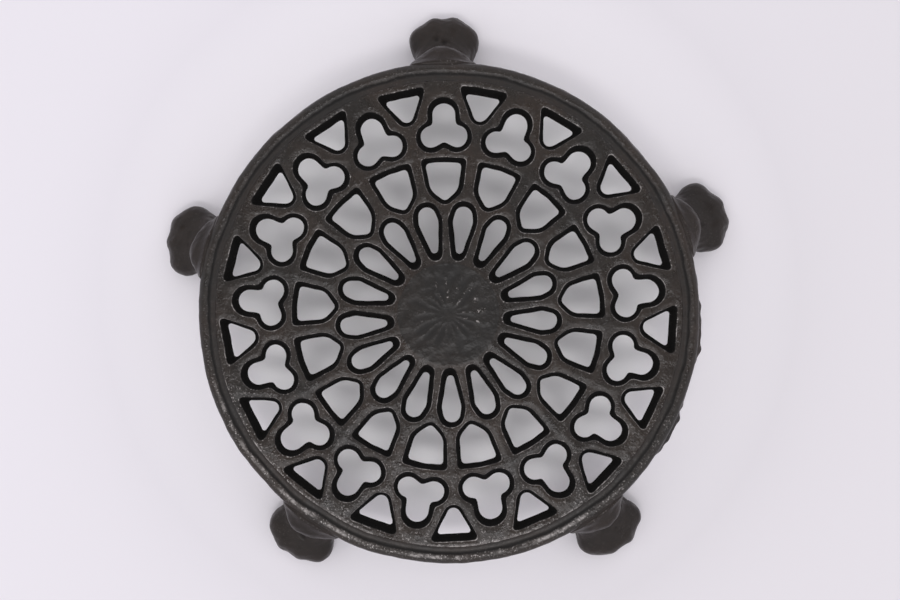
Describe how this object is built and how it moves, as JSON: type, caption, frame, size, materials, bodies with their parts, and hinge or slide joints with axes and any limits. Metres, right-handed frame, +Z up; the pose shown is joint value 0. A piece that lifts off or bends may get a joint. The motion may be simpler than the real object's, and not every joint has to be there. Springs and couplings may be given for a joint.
{
  "type": "footed trivet",
  "caption": "Round cast-iron trivet: rose-window plate of petal, arch, trefoil and triangle openings in a beaded rim, raised on spaced paw feet.",
  "frame": {"origin": "middle of the whole footprint, on the surface that the soles stand on; the plate's own centre lies 9.6 mm from it along -Y and 0.8 mm along +X, because five feet are not balanced front to back", "axes": "+Z up, out of the plate's top face; +Y towards paw_1"},
  "size_m": [0.24, 0.2306, 0.038],
  "materials": {
    "hub_iron": "bare sand-cast iron, cool dark grey, worn satin",
    "plate_iron": "sand-cast iron, brownish black, satin sheen on worn bar edges",
    "rim_iron": "sand-cast iron, brownish black, rubbed bright along the bead",
    "leg_iron": "sand-cast iron, brownish black, soft satin",
    "paw_iron": "sand-cast iron, neutral dark grey, fine grain"
  },
  "bodies": {
    "root": {"centre_boss": "hub_iron", "arcade_ring": "plate_iron", "trefoil_ring": "plate_iron", "rim": "rim_iron", "leg_1": "leg_iron", "leg_2": "leg_iron", "leg_3": "leg_iron", "leg_4": "leg_iron", "leg_5": "leg_iron", "paw_1": "paw_iron", "paw_2": "paw_iron", "paw_3": "paw_iron", "paw_4": "paw_iron", "paw_5": "paw_iron"}
  },
  "joints": []
}
